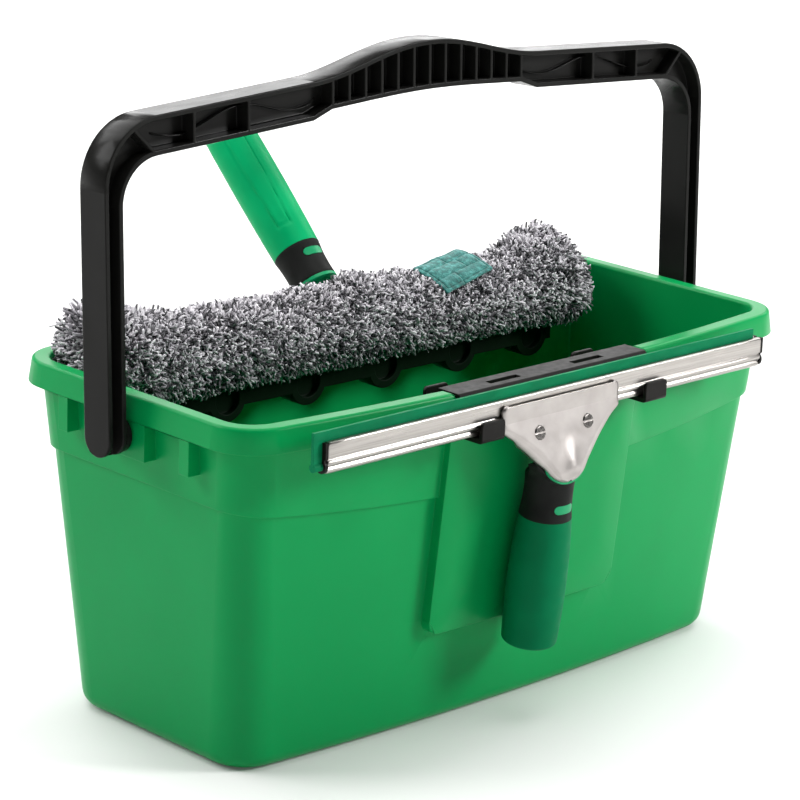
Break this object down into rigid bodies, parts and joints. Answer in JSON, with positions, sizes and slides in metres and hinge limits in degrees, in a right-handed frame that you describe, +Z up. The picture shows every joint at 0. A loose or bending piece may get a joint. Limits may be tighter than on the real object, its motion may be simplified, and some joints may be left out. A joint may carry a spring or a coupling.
{
  "type": "window cleaning bucket",
  "caption": "Oblong tub with a swinging bail handle and a rim clip that carries a squeegee, with a strip washer laid in the tub and its handle on the back rim.",
  "frame": {"origin": "bottom centre of the tub, on the surface that it stands on", "axes": "+X along the tub, -Y is the front with the squeegee, +Z up"},
  "size_m": [0.4786, 0.335, 0.3798],
  "materials": {
    "tub_plastic": "smooth injection-moulded green polypropylene with a soft gloss",
    "bail_plastic": "black moulded polypropylene, satin outside and glossy in the recesses",
    "clip_plastic": "black moulded plastic, satin",
    "stainless_steel": "polished sheet steel",
    "blade_rubber": "smooth dark green rubber",
    "collar_plastic": "dark grey moulded plastic, satin",
    "handle_plastic": "green moulded plastic, satin",
    "grip_rubber": "soft green overmoulding, satin",
    "fleece": "long mixed white, grey and black pile",
    "patch_fabric": "plain teal scrub fabric with stitched lines"
  },
  "bodies": {
    "bucket": {"tub": "tub_plastic", "tool_clip": "clip_plastic"},
    "bail": {"bail": "bail_plastic"},
    "squeegee": {"squeegee_channel": "stainless_steel", "squeegee_rubber": "blade_rubber", "channel_end_caps": "clip_plastic", "jaw_plate": "stainless_steel", "jaw_back": "stainless_steel", "jaw_screws": "stainless_steel", "squeegee_core": "handle_plastic", "squeegee_wrap": "collar_plastic", "squeegee_inlay": "handle_plastic", "squeegee_collar": "collar_plastic", "squeegee_grip": "grip_rubber"},
    "washer": {"washer_bar": "collar_plastic", "washer_sleeve": "fleece", "sleeve_patch": "patch_fabric", "washer_core": "handle_plastic", "washer_inlay": "handle_plastic", "washer_collar": "collar_plastic", "washer_grip": "grip_rubber"}
  },
  "joints": [
    {"name": "bail_hinge", "type": "hinge", "parent": "bucket", "child": "bail", "pos_m": [0, 0, 0.1845], "axis": [1, 0, 0], "range_deg": [-36, 105]},
    {"name": "squeegee_lift", "type": "slide", "parent": "bucket", "child": "squeegee", "axis": [0, -0.1243, 0.9922], "range_m": [0, 0.03]},
    {"name": "washer_lift", "type": "slide", "parent": "bucket", "child": "washer", "axis": [0, 0, 1], "range_m": [0, 0.04]}
  ]
}
